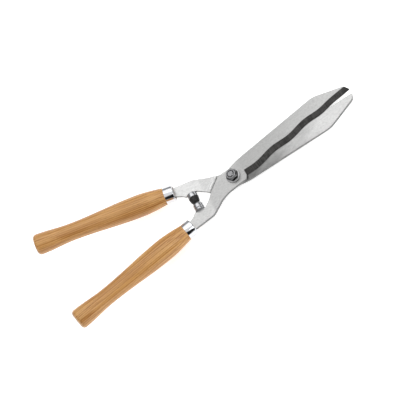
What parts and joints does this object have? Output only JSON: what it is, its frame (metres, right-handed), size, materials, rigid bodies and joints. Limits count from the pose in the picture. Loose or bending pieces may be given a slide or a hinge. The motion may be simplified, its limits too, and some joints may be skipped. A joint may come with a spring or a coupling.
{
  "type": "hedge shears",
  "caption": "Hedge shears with wavy-edged steel blades on a bolted pivot, cranked shanks with a rubber-buffered stop, chrome ferrules and turned wooden handles.",
  "frame": {"origin": "On the pivot axis, at the flat underside of the pivot bolt's head", "axes": "+X towards the blade tips along the middle line, +Y towards the lower blade's handle, +Z along the pivot axis from the bolt head to the nut"},
  "size_m": [0.5288, 0.1782, 0.0829],
  "materials": {
    "blade_steel": "satin ground steel with a dark ground bevel",
    "fastener_steel": "dark plated steel",
    "washer_steel": "bright plated steel",
    "nylon": "matt black nylon",
    "chrome": "polished chrome plate",
    "ash_wood": "clear satin lacquer over straight lengthwise grain",
    "buffer_rubber": "matt black rubber"
  },
  "bodies": {
    "lower_half": {"lower_blade": "blade_steel", "pivot_bolt": "fastener_steel", "dished_washer": "washer_steel", "pivot_nut": "fastener_steel", "nut_insert": "nylon", "lower_ferrule": "chrome", "lower_handle": "ash_wood", "stop_cup": "chrome", "stop_buffer": "buffer_rubber"},
    "upper_half": {"upper_blade": "blade_steel", "upper_ferrule": "chrome", "upper_handle": "ash_wood", "stop_anvil": "chrome"}
  },
  "joints": [
    {"name": "blade_pivot", "type": "hinge", "parent": "lower_half", "child": "upper_half", "pos_m": [0, 0, 0.01], "axis": [0, 0, 1], "range_deg": [0, 90]}
  ]
}
